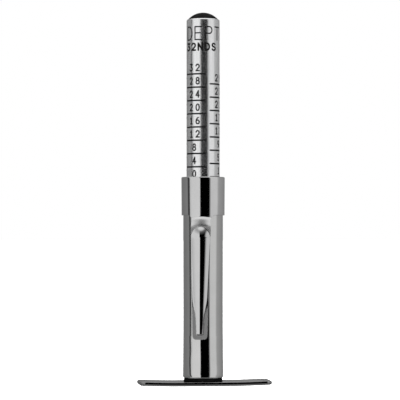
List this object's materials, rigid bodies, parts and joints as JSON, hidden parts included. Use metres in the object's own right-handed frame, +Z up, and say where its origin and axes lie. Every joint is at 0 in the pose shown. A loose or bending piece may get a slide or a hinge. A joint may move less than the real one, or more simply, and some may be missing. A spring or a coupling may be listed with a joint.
{
  "type": "tyre tread depth gauge",
  "caption": "Pencil-type depth gauge for tyre treads: chromed barrel with pocket clip and flat foot bar, and a round scale plunger that pushes a probe pin out through the foot.",
  "frame": {"origin": "in the foot's underside, on the axis of barrel and plunger, where the probe's tip stands at zero; the middle of the foot bar is 0.3 mm from it along +X", "axes": "+Z up the barrel towards the end button; X along the foot bar; the pocket clip faces roughly -Y"},
  "size_m": [0.0318, 0.0121, 0.0896],
  "materials": {
    "chrome": "polished chrome plate on drawn and stamped steel",
    "aluminium": "satin aluminium tube with a printed scale",
    "black_plastic": "smooth moulded plastic",
    "nylon": "natural nylon",
    "brass": "turned",
    "steel": "ground pin",
    "rubber": "moulded ring"
  },
  "bodies": {
    "housing": {"foot_bar": "chrome", "neck_washer": "black_plastic", "base_plug": "brass", "barrel": "chrome", "mouth_bush": "nylon", "clip_collar": "chrome"},
    "clip": {"clip_arm": "chrome"},
    "grip": {"friction_ring": "rubber"},
    "plunger": {"scale_tube": "aluminium", "end_button": "black_plastic", "piston": "brass", "probe_pin": "steel"}
  },
  "joints": [
    {"name": "depth_slide", "type": "slide", "parent": "housing", "child": "grip", "axis": [0, 0, -1], "range_m": [0, 0.0246]},
    {"name": "plunger_turn", "type": "hinge", "parent": "grip", "child": "plunger", "pos_m": [0, 0, 0], "axis": [0, 0, 1], "continuous": true},
    {"name": "clip_flex", "type": "hinge", "parent": "housing", "child": "clip", "pos_m": [-0.00106, -0.00488, 0.04044], "axis": [-0.977, 0.213, 0], "range_deg": [0, 4], "stiffness_Nm_per_rad": 0.5}
  ]
}
